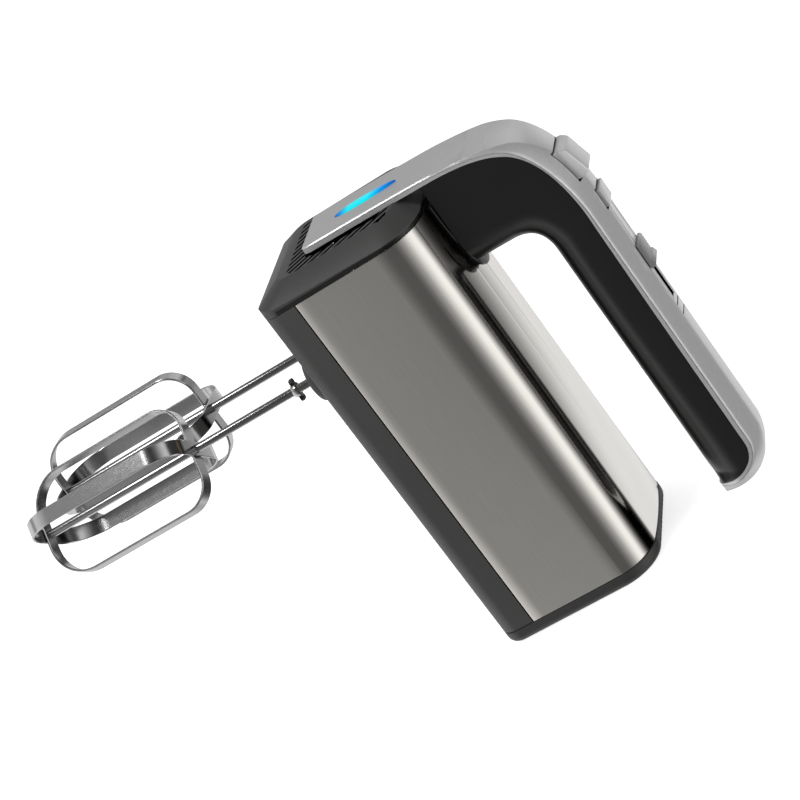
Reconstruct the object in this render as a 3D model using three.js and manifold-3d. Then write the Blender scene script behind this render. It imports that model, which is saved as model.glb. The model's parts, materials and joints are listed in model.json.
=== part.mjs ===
// Hand mixer with two wire-strip beaters.
// Millimetres. Everything is drawn in the working attitude: X across the mixer, Y from the nose
// to the tail, Z up, with the steel wrap's front edge at y = 0 and its top at z = 78. The last
// lines stand the whole mixer on its flat tail, beaters towards -Y, nose up.
import * as THREE from "three";
import { mergeVertices } from "three/addons/utils/BufferGeometryUtils.js";
import Module from "manifold-3d";

const wasm = await Module();
wasm.setup();

// ---- driving dimensions -------------------------------------------------------------------
const GAP = 0.3; // clearance between pieces that touch

const BODY_HALF_WIDTH = 42.5;
const BODY_TOP = 78;
const BASE_BOTTOM = -3.5;
const SHOULDER_RADIUS = 20;
const BASE_RADIUS = 8;
const WRAP_LENGTH = 185;
const WRAP_BOTTOM = 13.7;
const STEEL = 0.8;
const WALL = 2.4;

const NOSE_RIM = 2.2; // straight rim of the front cover, ahead of the steel
const NOSE_FACE = -9.6; // y of the flat vented face
const FACE = { half: 32, bottom: 7.3, top: 70.5, shoulder: 6, corner: 7 };
const TAIL = 192; // y of the flat heel
const TAIL_ROUND = 4.2; // radius of the edge round the heel

const HANDLE_HALF_WIDTH = 19;
const PLATE_BOTTOM = 22.3; // lower end of the silver strip on the nose
const PLATE_FRONT = -12.7;
const PLATE_BACK = NOSE_FACE - GAP;
const TRIM_TOP = 137.7; // upper edge of the silver trim along the grip
const CROWN = 4.3; // how far the middle of the trim stands above its edges
const GRIP_TOP = 135.2; // joint between the trim and the black grip
const GRIP_BOTTOM = 112;
const LEG_BACK = 36.5;
const LEG_BOTTOM = BODY_TOP + 4.3;
const HANDLE_END = 192;
const HANDLE_SCREW = { x: 12, y: 16, radius: 1.5 };

const EJECT = { half: 11, front: 11, rear: 27 }; // openings for the buttons in the trim
const TURBO = { half: 7.3, front: 35.7, rear: 45.3 };
const SLIDER = { half: 7, front: 66.5, rear: 79.2, slot: [76, 97] };
const BOARD_Z = 124;

const BEATER_X = 20.6;
const BEATER_Y = 40.3;
const BEATER_TIP = -164.3;
const CAGE_TOP = -75;
const CAGE_RADIUS = 27.2;
const STRIP_WIDTH = 7.5;
const STRIP_THICKNESS = 1.1;
const SHAFT_RADIUS = 2;
const SHAFT_TOP = 48;
const COLLAR_Z = -18.5;
const PHASE = { left: 54, right: 88 }; // direction of each beater's inner strip, degrees from +X

const MOTOR_Z = 36;
const GEAR_TEETH = 28;
const WORM_STARTS = 2;
const WORM_RADIUS = 3.8; // pitch radius
const GEAR_RADIUS = BEATER_X - WORM_RADIUS;
const TOOTH_PITCH = (2 * Math.PI * GEAR_RADIUS) / GEAR_TEETH;
const ADDENDUM = 0.8;
const DEDENDUM = 1.15;
const GEAR_HALF = 4.5;
const SLEEVE_RADIUS = 4.5;
const SLEEVE_TOP = 49.5;
const BOSS_BOTTOM = -8.5;
const BASE_SCREWS = [[-32, 28], [32, 28], [-32, 152], [32, 152]];
const FLOOR = BASE_BOTTOM + WALL + GAP; // lowest level for pieces standing in the base

const CORE_FRONT = 87; // stator and armature stacks
const CORE_REAR = 113;
const ARMATURE_RADIUS = 13.2;
const AXLE_RADIUS = 2.5;

const COLOURS = {
  steel: [0x9a958c, 0.28, 1.0],
  dark: [0x3b3b3a, 0.55, 0.0],
  black: [0x161616, 0.5, 0.0],
  silver: [0x9b9b9b, 0.35, 0.7],
  chrome: [0xd0d0d0, 0.12, 1.0],
  glow: [0x22d8f0, 0.3, 0.0],
  nylon: [0xd8d4c4, 0.6, 0.0],
  iron: [0x55565a, 0.6, 0.8],
  copper: [0xa85a2a, 0.4, 0.9],
  brass: [0xb08d4a, 0.35, 0.9],
  carbon: [0x222224, 0.8, 0.1],
  board: [0x1f5a34, 0.6, 0.0],
};

// ---- solids from three.js geometry ---------------------------------------------------------
const X_AXIS = new THREE.Vector3(1, 0, 0);
const Y_AXIS = new THREE.Vector3(0, 1, 0);
const Z_AXIS = new THREE.Vector3(0, 0, 1);

function solid(geometry) {
  let bare = geometry.clone();
  bare.deleteAttribute("normal");
  bare.deleteAttribute("uv");
  bare = mergeVertices(bare, 1e-4);
  const vertProperties = new Float32Array(bare.attributes.position.array);
  const triVerts = new Uint32Array(bare.index.array);
  return new wasm.Manifold(new wasm.Mesh({ numProp: 3, vertProperties, triVerts }));
}

function geometryOf(body) {
  const mesh = body.getMesh();
  const geometry = new THREE.BufferGeometry();
  geometry.setAttribute("position", new THREE.BufferAttribute(mesh.vertProperties, 3));
  geometry.setIndex(new THREE.BufferAttribute(mesh.triVerts, 1));
  geometry.computeVertexNormals();
  return geometry;
}

function box(x0, x1, y0, y1, z0, z1) {
  const geometry = new THREE.BoxGeometry(x1 - x0, y1 - y0, z1 - z0);
  return solid(geometry.translate((x0 + x1) / 2, (y0 + y1) / 2, (z0 + z1) / 2));
}

// An extrusion: the shape's own axes become the two named by `across`, and it runs from a to b.
function extrude(shape, axis, a, b, options = {}) {
  const settings = { depth: b - a, bevelEnabled: false, curveSegments: 8, ...options };
  const geometry = new THREE.ExtrudeGeometry(shape, settings);
  const placed = new THREE.Matrix4();
  if (axis === "x") placed.makeBasis(Y_AXIS, Z_AXIS, X_AXIS).setPosition(a, 0, 0);
  if (axis === "y") placed.makeBasis(X_AXIS, Z_AXIS, Y_AXIS.clone().negate()).setPosition(0, b, 0);
  if (axis === "z") placed.setPosition(0, 0, a);
  return geometry.applyMatrix4(placed);
}

// A round piece: [radius, height] points turned about an axis through (x, y) or (x, z).
function turned(profile, axis, u, v, segments = 24) {
  const points = profile.map(([r, h]) => new THREE.Vector2(r, h));
  const geometry = new THREE.LatheGeometry(points, segments);
  if (axis === "z") geometry.rotateX(Math.PI / 2).translate(u, v, 0);
  if (axis === "y") geometry.translate(u, 0, v);
  return solid(geometry);
}

function rod(radius, a, b, axis, u, v, segments = 24) {
  return turned([[0, a], [radius, a], [radius, b], [0, b]], axis, u, v, segments);
}

function tube(inner, outer, a, b, axis, u, v, segments = 24) {
  const profile = [[inner, a], [outer, a], [outer, b], [inner, b], [inner, a]];
  return turned(profile, axis, u, v, segments);
}

function polygon(points) {
  return new THREE.Shape(points.map(([u, v]) => new THREE.Vector2(u, v)));
}

function move(body, dx, dy, dz) {
  return body.translate([dx, dy, dz]);
}

// ---- assembly ------------------------------------------------------------------------------
const mixer = new THREE.Group();

function add(name, body, finish) {
  const [color, roughness, metalness] = COLOURS[finish];
  const material = new THREE.MeshStandardMaterial({ color, roughness, metalness });
  const mesh = new THREE.Mesh(geometryOf(body), material);
  mesh.name = name;
  mixer.add(mesh);
}

const SIDES = [["left", 1], ["right", -1]];

// ---- body sections -------------------------------------------------------------------------
// A body section is a box outline with wide shoulders above and smaller corners below.
function bodySection(inset, y) {
  return {
    y,
    half: BODY_HALF_WIDTH - inset,
    bottom: BASE_BOTTOM + inset,
    top: BODY_TOP - inset,
    shoulder: SHOULDER_RADIUS - inset,
    corner: BASE_RADIUS - inset,
  };
}

function sectionShape({ half, bottom, top, shoulder, corner }) {
  const shape = new THREE.Shape();
  shape.moveTo(-half + corner, bottom);
  shape.lineTo(half - corner, bottom);
  shape.absarc(half - corner, bottom + corner, corner, -Math.PI / 2, 0, false);
  shape.absarc(half - shoulder, top - shoulder, shoulder, 0, Math.PI / 2, false);
  shape.absarc(-half + shoulder, top - shoulder, shoulder, Math.PI / 2, Math.PI, false);
  shape.absarc(-half + corner, bottom + corner, corner, Math.PI, Math.PI * 1.5, false);
  return shape;
}

// Where a point of one section lands on another: each corner moves and scales about its centre.
function carryOver(x, z, from, to) {
  const upper = z > (from.bottom + from.top) / 2;
  const centre = ({ half, bottom, top, shoulder, corner }) =>
    upper ? [half - shoulder, top - shoulder, shoulder] : [half - corner, bottom + corner, corner];
  const [x0, z0, r0] = centre(from);
  const [x1, z1, r1] = centre(to);
  const grown = x1 + ((Math.abs(x) - x0) / r0) * r1;
  return [Math.sign(x) * grown, z1 + ((z - z0) / r0) * r1];
}

// A solid through a list of sections, in order of rising y.
function loftBar(sections) {
  const spans = sections.length - 1;
  const geometry = extrude(sectionShape(sections[0]), "y", 0, spans, { steps: spans });
  const position = geometry.attributes.position;
  for (let i = 0; i < position.count; i += 1) {
    const section = sections[Math.round(position.getY(i))];
    const [x, z] = carryOver(position.getX(i), position.getZ(i), sections[0], section);
    position.setXYZ(i, x, section.y, z);
  }
  return solid(geometry);
}

function bodyBar(inset, y0, y1) {
  return loftBar([bodySection(inset, y0), bodySection(inset, y1)]);
}

// ---- casing --------------------------------------------------------------------------------
const LEG_OPENING = box(-7.5, 7.5, 7.5, 28.5, BODY_TOP - 8, BODY_TOP + 12);

function steelWrap() {
  const above = box(-60, 60, -1, WRAP_LENGTH + 1, WRAP_BOTTOM, 100);
  let wrap = bodyBar(0, GAP, WRAP_LENGTH - GAP).subtract(bodyBar(STEEL, -1, WRAP_LENGTH + 1));
  wrap = wrap.intersect(above).subtract(LEG_OPENING);
  for (const [, side] of SIDES) {
    const hole = rod(HANDLE_SCREW.radius + GAP, 70, 90, "z", side * HANDLE_SCREW.x, HANDLE_SCREW.y);
    wrap = wrap.subtract(hole);
  }
  return wrap;
}

function baseShell() {
  const below = box(-60, 60, -1, WRAP_LENGTH + 1, BASE_BOTTOM - 1, WRAP_BOTTOM - GAP);
  const lipBand = box(-60, 60, 8, WRAP_LENGTH - 8, 11, 18);
  const lipInset = STEEL + GAP;
  const lip = bodyBar(lipInset, 8, WRAP_LENGTH - 8).subtract(bodyBar(WALL, 0, WRAP_LENGTH));
  let shell = bodyBar(0, GAP, WRAP_LENGTH - GAP).subtract(bodyBar(WALL, -1, WRAP_LENGTH + 1));
  shell = shell.intersect(below).add(lip.intersect(lipBand));
  for (const [, side] of SIDES) {
    shell = shell.add(rod(11.5, BOSS_BOTTOM, 6, "z", side * BEATER_X, BEATER_Y, 32));
    shell = shell.subtract(rod(8.3, BOSS_BOTTOM - 1, 7, "z", side * BEATER_X, BEATER_Y));
  }
  for (const [x, y] of BASE_SCREWS) {
    shell = shell.add(rod(5, BASE_BOTTOM + 1, 14, "z", x, y, 16));
    shell = shell.subtract(rod(3.4, BASE_BOTTOM - 1, 8, "z", x, y, 16));
    shell = shell.subtract(rod(1.8, 7, 15, "z", x, y, 16));
  }
  return shell;
}

// Slanted slots in the nose, clear of the strip that covers the middle of the face.
function noseSlots() {
  const slant = THREE.MathUtils.degToRad(41);
  const width = 2;
  const pitch = 6; // across the face
  const [first, low] = [24.5, 13]; // lower end of the slot nearest the left corner
  const field = box(-27, 30.5, NOSE_FACE - 1, NOSE_FACE + 4, low, 66);
  const cover = box(-16, 16, NOSE_FACE - 2, NOSE_FACE + 5, 27, 80);
  let slots = null;
  for (let i = -8; i < 9; i += 1) {
    const bar = new THREE.BoxGeometry(width, 12, 180).rotateY(-slant);
    const slot = solid(bar.translate(first + i * pitch, NOSE_FACE, low));
    slots = slots ? slots.add(slot) : slot;
  }
  return slots.intersect(field.subtract(cover));
}

function frontCover() {
  const inner = {
    ...FACE, y: NOSE_FACE + WALL, half: FACE.half - 1, bottom: FACE.bottom + 1, top: FACE.top - 1,
  };
  let cover = loftBar([{ ...FACE, y: NOSE_FACE }, bodySection(0, -NOSE_RIM), bodySection(0, 0)]);
  cover = cover.subtract(loftBar([inner, bodySection(WALL, -NOSE_RIM), bodySection(WALL, 1)]));
  const lip = bodyBar(STEEL + GAP, -0.5, 5).subtract(bodyBar(WALL, -2, 6));
  cover = cover.add(lip.intersect(box(-60, 60, -2, 6, 22, 100)));
  const lightWindow = box(-4, 4, NOSE_FACE - 1, NOSE_FACE + 4, 38, 68);
  return cover.subtract(noseSlots()).subtract(lightWindow);
}

function rearCover() {
  const rim = TAIL - TAIL_ROUND;
  const sections = [bodySection(0, WRAP_LENGTH)];
  for (const degrees of [0, 22.5, 45, 67.5, 90]) {
    const angle = THREE.MathUtils.degToRad(degrees);
    const inset = TAIL_ROUND * (1 - Math.cos(angle));
    sections.push(bodySection(inset, rim + TAIL_ROUND * Math.sin(angle)));
  }
  let cover = loftBar(sections);
  cover = cover.subtract(loftBar([
    bodySection(WALL, WRAP_LENGTH - 1), bodySection(WALL, rim), bodySection(TAIL_ROUND, TAIL - WALL),
  ]));
  const lip = bodyBar(STEEL + GAP, WRAP_LENGTH - 5, WRAP_LENGTH + 0.5);
  const ring = lip.subtract(bodyBar(WALL, WRAP_LENGTH - 6, WRAP_LENGTH + 2));
  cover = cover.add(ring.intersect(box(-60, 60, 150, TAIL, 22, 100)));
  for (let x = -20; x <= 20; x += 4) {
    cover = cover.subtract(box(x - 0.9, x + 0.9, rim + 0.4, rim + 2.4, 70, 90));
  }
  return cover;
}

// ---- handle --------------------------------------------------------------------------------
// Side outline of the trim's outer face, from the strip's lower end over the arch to the tail end.
function trimOuter(shape, top) {
  const tension = 0.66;
  const archStart = 95;
  const archEnd = 40;
  shape.lineTo(PLATE_FRONT, archStart);
  shape.bezierCurveTo(
    PLATE_FRONT, archStart + tension * (top - archStart),
    archEnd - tension * (archEnd - PLATE_FRONT), top,
    archEnd, top,
  );
  shape.lineTo(HANDLE_END - 21, top);
  shape.bezierCurveTo(HANDLE_END - 10, top - 2, HANDLE_END, top - 10, HANDLE_END, GRIP_BOTTOM + 6);
}

// The joint line between trim and grip, offset outwards by `gap`.
function jointLine(shape, gap) {
  const tension = 0.75;
  const archStart = 90;
  const archEnd = 45;
  const front = PLATE_BACK - gap;
  const top = GRIP_TOP + gap;
  shape.lineTo(HANDLE_END - 9 + gap, GRIP_BOTTOM + 4);
  shape.bezierCurveTo(
    HANDLE_END - 9 + gap, top - 10, HANDLE_END - 12 + gap, top, HANDLE_END - 24, top,
  );
  shape.lineTo(archEnd, top);
  shape.bezierCurveTo(
    archEnd - tension * (archEnd - front), top,
    front, archStart + tension * (top - archStart),
    front, archStart,
  );
}

function handleTop() {
  const outline = new THREE.Shape();
  outline.moveTo(PLATE_FRONT, PLATE_BOTTOM);
  trimOuter(outline, TRIM_TOP + CROWN);
  outline.lineTo(HANDLE_END - 2, GRIP_BOTTOM + 1);
  outline.lineTo(HANDLE_END - 6, GRIP_BOTTOM);
  jointLine(outline, 0);
  outline.lineTo(PLATE_BACK, PLATE_BOTTOM);
  const half = HANDLE_HALF_WIDTH;
  let top = solid(extrude(outline, "x", -half, half));

  // crowned across its width, rounded in plan at the tail
  const crown = new THREE.Shape();
  crown.moveTo(-half, 0);
  crown.lineTo(half, 0);
  crown.lineTo(half, TRIM_TOP);
  crown.quadraticCurveTo(half - 5, TRIM_TOP + CROWN - 0.5, 4, TRIM_TOP + CROWN);
  crown.lineTo(-4, TRIM_TOP + CROWN);
  crown.quadraticCurveTo(-half + 5, TRIM_TOP + CROWN - 0.5, -half, TRIM_TOP);
  top = top.intersect(solid(extrude(crown, "y", -30, HANDLE_END + 10)));
  top = top.intersect(handlePlan(0, HANDLE_END));

  for (const { half: reach, front, rear } of [EJECT, TURBO]) {
    top = top.subtract(box(-reach, reach, front, rear, 120, 160));
  }
  const [slotFront, slotRear] = SLIDER.slot;
  top = top.subtract(box(-2.3, 2.3, slotFront, slotRear, 120, 160));
  top = top.subtract(box(-5, 5, TURBO.rear + 3, slotRear + 3, TRIM_TOP + CROWN - 0.5, 160));
  return top.subtract(lightLens(GAP, PLATE_FRONT - 1, PLATE_BACK + 1));
}

// Plan of the handle: straight sides, and a tail end rounded at its corners.
function handlePlan(inset, end) {
  const half = HANDLE_HALF_WIDTH - inset;
  const corner = 10;
  const plan = new THREE.Shape();
  plan.moveTo(-half, -30);
  plan.lineTo(half, -30);
  plan.lineTo(half, end - corner - 3);
  plan.bezierCurveTo(half, end - 4, half - 7, end, 0, end);
  plan.bezierCurveTo(-half + 7, end, -half, end - 4, -half, end - corner - 3);
  return solid(extrude(plan, "z", 0, 160));
}

function handleGrip() {
  // everything inside the joint line
  const inside = new THREE.Shape();
  inside.moveTo(HANDLE_END - 9 - GAP, 60);
  jointLine(inside, -GAP);
  inside.lineTo(PLATE_BACK + GAP, 60);
  const half = HANDLE_HALF_WIDTH;
  const bounds = solid(extrude(inside, "x", -half, half));

  // leg and grip, elliptical on the side of the fingers; the far sides run past the joint line
  const [across, deep] = [half - 0.2, 15];
  const body = new THREE.Shape();
  body.moveTo(-30, LEG_BOTTOM - 30);
  body.lineTo(LEG_BACK, LEG_BOTTOM - 30);
  body.lineTo(LEG_BACK, GRIP_BOTTOM - 12);
  body.absarc(LEG_BACK + 12, GRIP_BOTTOM - 12, 12, Math.PI, Math.PI / 2, true);
  body.lineTo(HANDLE_END + 30, GRIP_BOTTOM);
  body.lineTo(HANDLE_END + 30, 160);
  body.lineTo(-30, 160);
  const bevel = {
    bevelEnabled: true, bevelThickness: across, bevelSize: deep, bevelOffset: -deep,
    bevelSegments: 6,
  };
  let grip = solid(extrude(body, "x", -half + across, half - across, bevel));
  grip = grip.intersect(bounds).intersect(handlePlan(0, HANDLE_END - 1));
  grip = grip.intersect(box(-60, 60, -30, HANDLE_END, LEG_BOTTOM, 160));

  // room for the switches, the eject rod and the wires
  const wall = 3;
  const floor = 120;
  const cavity = new THREE.Shape();
  cavity.moveTo(PLATE_BACK + wall, LEG_BOTTOM + 4);
  cavity.lineTo(LEG_BACK - 9, LEG_BOTTOM + 4);
  cavity.lineTo(LEG_BACK - 9, floor);
  cavity.lineTo(HANDLE_END - 24, floor);
  cavity.lineTo(HANDLE_END - 24, 160);
  cavity.lineTo(-2, 160);
  cavity.lineTo(PLATE_BACK + wall, floor);
  grip = grip.subtract(solid(extrude(cavity, "x", -half + 5, half - 5)));
  grip = grip.subtract(LEG_OPENING);
  for (const y of [62, 100]) {
    grip = grip.add(rod(2, floor - 2, BOARD_Z - GAP, "z", 0, y, 12));
  }
  for (const [, side] of SIDES) {
    const { x, y, radius } = HANDLE_SCREW;
    grip = grip.subtract(rod(radius + GAP, 70, LEG_BOTTOM + 5, "z", side * x, y, 12));
  }
  return grip;
}

// A low plinth under the leg, pointed towards the tail.
function handleSaddle() {
  const plan = new THREE.Shape();
  plan.moveTo(-18, GAP);
  plan.lineTo(18, GAP);
  plan.bezierCurveTo(17, 24, 15, 43, 0, 43);
  plan.bezierCurveTo(-15, 43, -17, 24, -18, GAP);
  let saddle = solid(extrude(plan, "z", BODY_TOP + GAP, LEG_BOTTOM - GAP));
  saddle = saddle.subtract(LEG_OPENING);
  for (const [, side] of SIDES) {
    const { x, y, radius } = HANDLE_SCREW;
    saddle = saddle.subtract(rod(radius + GAP, 70, 90, "z", side * x, y, 12));
  }
  return saddle;
}

// ---- lamp ----------------------------------------------------------------------------------
// A leaf-shaped lens set in the strip, broad end down, grown by `gap` for the hole it sits in.
function lightLens(gap, front, back) {
  const [low, broad, high] = [36.5 - gap, 46, 69.3 + gap];
  const half = 5 + gap;
  const leaf = new THREE.Shape();
  leaf.moveTo(0, low);
  leaf.bezierCurveTo(half * 0.7, low, half, broad - 5, half, broad);
  leaf.bezierCurveTo(half, broad + 11, half * 0.7, high, 0, high);
  leaf.bezierCurveTo(-half * 0.7, high, -half, broad + 11, -half, broad);
  leaf.bezierCurveTo(-half, broad - 5, -half * 0.7, low, 0, low);
  return solid(extrude(leaf, "y", front, back));
}

// ---- buttons -------------------------------------------------------------------------------
function ejectButton() {
  const { half, front, rear } = EJECT;
  const side = polygon([
    [front + GAP, 127], [rear - GAP, 131], [rear - GAP, 142.5], [rear - 1.8, 145],
    [front + 1.8, 141.2], [front + GAP, 137.5],
  ]);
  const body = solid(extrude(side, "x", -half + GAP, half - GAP));
  const section = polygon([
    [-half + GAP, 120], [half - GAP, 120], [half - GAP, 139], [half - 2.6, 150], [-half + 2.6, 150],
    [-half + GAP, 139],
  ]);
  return body.intersect(solid(extrude(section, "y", 0, 40)));
}

// Push rod from the button down to a yoke that spans both drive spindles.
function ejectYoke() {
  const stemY = (EJECT.front + EJECT.rear) / 2;
  const [bar, top] = [55, 60];
  let yoke = box(-3, 3, stemY - 3, stemY + 3, bar, 126.5);
  yoke = yoke.add(box(-7, 7, stemY - 7, stemY + 7, 108, 110));
  yoke = yoke.add(box(-4, 4, stemY - 3, BEATER_Y + 3, bar, top));
  yoke = yoke.add(box(-BEATER_X - 3, BEATER_X + 3, BEATER_Y - 3, BEATER_Y + 3, bar, top));
  for (const [, side] of SIDES) {
    yoke = yoke.add(rod(1.8, bar - 1.5, bar + 1, "z", side * BEATER_X, BEATER_Y, 12));
  }
  return yoke;
}

class Helix extends THREE.Curve {
  constructor(radius, z0, z1, turns) {
    super();
    Object.assign(this, { radius, z0, z1, turns });
  }

  getPoint(t, target = new THREE.Vector3()) {
    const angle = t * this.turns * Math.PI * 2;
    const z = this.z0 + t * (this.z1 - this.z0);
    return target.set(this.radius * Math.cos(angle), this.radius * Math.sin(angle), z);
  }
}

function ejectSpring() {
  const stemY = (EJECT.front + EJECT.rear) / 2;
  const wire = 0.6;
  const section = polygon([[wire, 0], [0, wire], [-wire, 0], [0, -wire]]);
  const path = new Helix(5.4, LEG_BOTTOM + 4 + GAP + wire, 108 - GAP - wire, 5);
  const coil = new THREE.ExtrudeGeometry(section, { steps: 60, extrudePath: path });
  return move(solid(coil), 0, stemY, 0);
}

function turboButton() {
  const { half, front, rear } = TURBO;
  const cap = box(-half + GAP, half - GAP, front + GAP, rear - GAP, 138.2, 143.4);
  const middle = (front + rear) / 2;
  return cap.add(box(-1.5, 1.5, middle - 1.5, middle + 1.5, 135.9, 139));
}

function speedSlider() {
  const { half, front, rear, slot } = SLIDER;
  const skid = TRIM_TOP + CROWN + GAP;
  const side = polygon([
    [front, skid], [rear, skid], [rear, 145], [rear - 2.5, 145.5], [rear - 4, 144.3],
    [front + 1, 144.1],
  ]);
  const cap = solid(extrude(side, "x", -half, half));
  return cap.add(box(-1.8, 1.8, slot[0] + 0.4, slot[0] + 3.2, 131.4, skid + 1));
}

// ---- drive ---------------------------------------------------------------------------------
const SPIN = THREE.MathUtils.degToRad(90);
const LEAD = TOOTH_PITCH * WORM_STARTS;

// Tooth outline for `count` teeth: straight flanks from root to tip, given as angles of a pitch.
function toothedOutline(count, root, tip, rootShare, tipShare, turn) {
  const points = [];
  const pitch = (Math.PI * 2) / count;
  for (let i = 0; i < count; i += 1) {
    for (const [radius, share] of [
      [root, -rootShare], [tip, -tipShare], [tip, tipShare], [root, rootShare],
    ]) {
      const angle = turn + pitch * (i + share);
      points.push([radius * Math.cos(angle), radius * Math.sin(angle)]);
    }
  }
  return polygon(points);
}

// Turn every point of a z-extrusion about Z in proportion to its height.
function twist(geometry, anglePerMm) {
  const position = geometry.attributes.position;
  const point = new THREE.Vector3();
  for (let i = 0; i < position.count; i += 1) {
    point.fromBufferAttribute(position, i);
    point.applyAxisAngle(Z_AXIS, point.z * anglePerMm);
    position.setXYZ(i, point.x, point.y, point.z);
  }
  return geometry;
}

// Helical gear about Z, centred on z = 0, with a tooth space facing -X at mid height.
function wormWheel() {
  const rootShare = 0.3;
  const tipShare = 0.12;
  const half = Math.PI / GEAR_TEETH;
  const root = GEAR_RADIUS - DEDENDUM;
  const tip = GEAR_RADIUS + ADDENDUM;
  const outline = toothedOutline(GEAR_TEETH, root, tip, rootShare, tipShare, Math.PI + half);
  const options = { depth: GEAR_HALF * 2, bevelEnabled: false, steps: 4 };
  const blank = new THREE.ExtrudeGeometry(outline, options).translate(0, 0, -GEAR_HALF);
  // the wheel's teeth follow the worm's lead angle at the pitch point
  const rise = LEAD / (Math.PI * 2 * WORM_RADIUS);
  return solid(twist(blank, rise / GEAR_RADIUS));
}

function driveGear(side) {
  let wheel = wormWheel();
  if (side < 0) wheel = wheel.rotate([0, 180, 0]);
  wheel = move(wheel, side * BEATER_X, BEATER_Y, MOTOR_Z);
  const sleeve = rod(SLEEVE_RADIUS, -5, SLEEVE_TOP, "z", side * BEATER_X, BEATER_Y);
  const bore = rod(SHAFT_RADIUS + 0.4, -6, SLEEVE_TOP + 1, "z", side * BEATER_X, BEATER_Y, 16);
  return wheel.add(sleeve).subtract(bore);
}

function wormThread() {
  const length = 20;
  const outline = toothedOutline(
    WORM_STARTS, WORM_RADIUS - DEDENDUM, WORM_RADIUS + ADDENDUM, 0.3, 0.12, 0,
  );
  const options = { depth: length, bevelEnabled: false, steps: 42 };
  const core = new THREE.ExtrudeGeometry(outline, options).translate(0, 0, -length / 2);
  return solid(twist(core, (Math.PI * 2) / LEAD));
}

function armatureShaft() {
  let thread = wormThread().rotate([-90, 0, 0]);
  thread = move(thread, 0, BEATER_Y, MOTOR_Z);
  return thread.add(rod(AXLE_RADIUS, 20, 157, "y", 0, MOTOR_Z, 16));
}

function armatureCore() {
  const teeth = toothedOutline(12, ARMATURE_RADIUS - 5, ARMATURE_RADIUS, 0.3, 0.42, 0);
  const stack = solid(extrude(teeth, "y", CORE_FRONT + 1, CORE_REAR - 1));
  return move(stack, 0, 0, MOTOR_Z).subtract(rod(AXLE_RADIUS + GAP, 60, 130, "y", 0, MOTOR_Z, 16));
}

function winding(y0, y1) {
  const [inner, outer, round] = [AXLE_RADIUS + 2, ARMATURE_RADIUS - 2.6, 1.6];
  const profile = [
    [inner, y0], [outer - round, y0], [outer, y0 + round], [outer, y1 - round],
    [outer - round, y1], [inner, y1], [inner, y0],
  ];
  return turned(profile, "y", 0, MOTOR_Z, 20);
}

function coolingFan() {
  const outline = toothedOutline(9, 8, 20, 0.16, 0.1, 0);
  const blades = move(solid(extrude(outline, "y", 66, 73)), 0, 0, MOTOR_Z);
  return blades.subtract(rod(AXLE_RADIUS + GAP, 60, 80, "y", 0, MOTOR_Z, 16));
}

// ---- motor ---------------------------------------------------------------------------------
const STATOR = { half: 27, reach: 25, bore: 13.8, window: [12.5, 19, 11.5, 19] };
const BOLT_X = 23;

function statorCore() {
  const { half, reach, bore, window } = STATOR;
  const [x0, x1, z0, z1] = window;
  const cut = 7;
  const outline = polygon([
    [-half + cut, -reach], [half - cut, -reach], [half, -reach + cut], [half, reach - cut],
    [half - cut, reach], [-half + cut, reach], [-half, reach - cut], [-half, -reach + cut],
  ]);
  let core = move(solid(extrude(outline, "y", CORE_FRONT, CORE_REAR)), 0, 0, MOTOR_Z);
  core = core.subtract(rod(bore, 60, 140, "y", 0, MOTOR_Z, 32));
  for (const sx of [-1, 1]) {
    for (const sz of [-1, 1]) {
      const xs = [sx * x0, sx * x1].sort((a, b) => a - b);
      const zs = [MOTOR_Z + sz * z0, MOTOR_Z + sz * z1].sort((a, b) => a - b);
      core = core.subtract(box(...xs, 60, 140, ...zs));
    }
    core = core.subtract(rod(2, 60, 140, "y", sx * BOLT_X, MOTOR_Z, 12));
  }
  return core;
}

function fieldCoil(side) {
  const [x0, x1, z0, z1] = STATOR.window;
  const [inner, outer] = [x0 + GAP, x1 - GAP];
  const endTurn = outer - inner;
  const zs = [MOTOR_Z + side * (z0 + GAP), MOTOR_Z + side * (z1 - GAP)].sort((a, b) => a - b);
  const [front, rear] = [CORE_FRONT - GAP, CORE_REAR + GAP];
  const whole = box(-outer, outer, front - endTurn, rear + endTurn, ...zs);
  return whole.subtract(box(-inner, inner, front, rear, zs[0] - 1, zs[1] + 1));
}

function bracket(y0, y1, bearingRadius) {
  let plate = box(-28, 28, y0, y1, 18, 58).add(box(-24, 24, y0, y1, FLOOR, 19));
  plate = plate.subtract(box(-18, -10, y0 - 1, y1 + 1, 20, 52));
  plate = plate.subtract(box(10, 18, y0 - 1, y1 + 1, 20, 52));
  plate = plate.subtract(rod(bearingRadius + GAP, y0 - 1, y1 + 1, "y", 0, MOTOR_Z));
  for (const [, side] of SIDES) {
    plate = plate.subtract(rod(2, y0 - 1, y1 + 1, "y", side * BOLT_X, MOTOR_Z, 12));
  }
  return plate;
}

function rearBracket() {
  let plate = bracket(150, 152.5, 5);
  for (const [, side] of SIDES) {
    const [x0, x1] = side > 0 ? [27, 37] : [-37, -27];
    const foot = box(x0, x1, 148, 156, 14 + GAP, 22);
    plate = plate.add(foot).subtract(rod(1.8, 10, 30, "z", side * 32, 152, 12));
  }
  return plate;
}

function brush(side) {
  const xs = side > 0 ? [9, 17] : [-17, -9];
  return box(...xs, 133.5, 138.5, MOTOR_Z - 3, MOTOR_Z + 3);
}

function brushHolder(side) {
  const xs = side > 0 ? [11, 20.5] : [-20.5, -11];
  const bore = side > 0 ? [10, 19] : [-19, -10];
  let holder = box(...xs, 131.6, 149.7, MOTOR_Z - 5, MOTOR_Z + 5);
  const clear = GAP + 0.1;
  holder = holder.subtract(
    box(...bore, 133.5 - clear, 138.5 + clear, MOTOR_Z - 3 - clear, MOTOR_Z + 3 + clear),
  );
  return holder;
}

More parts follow.
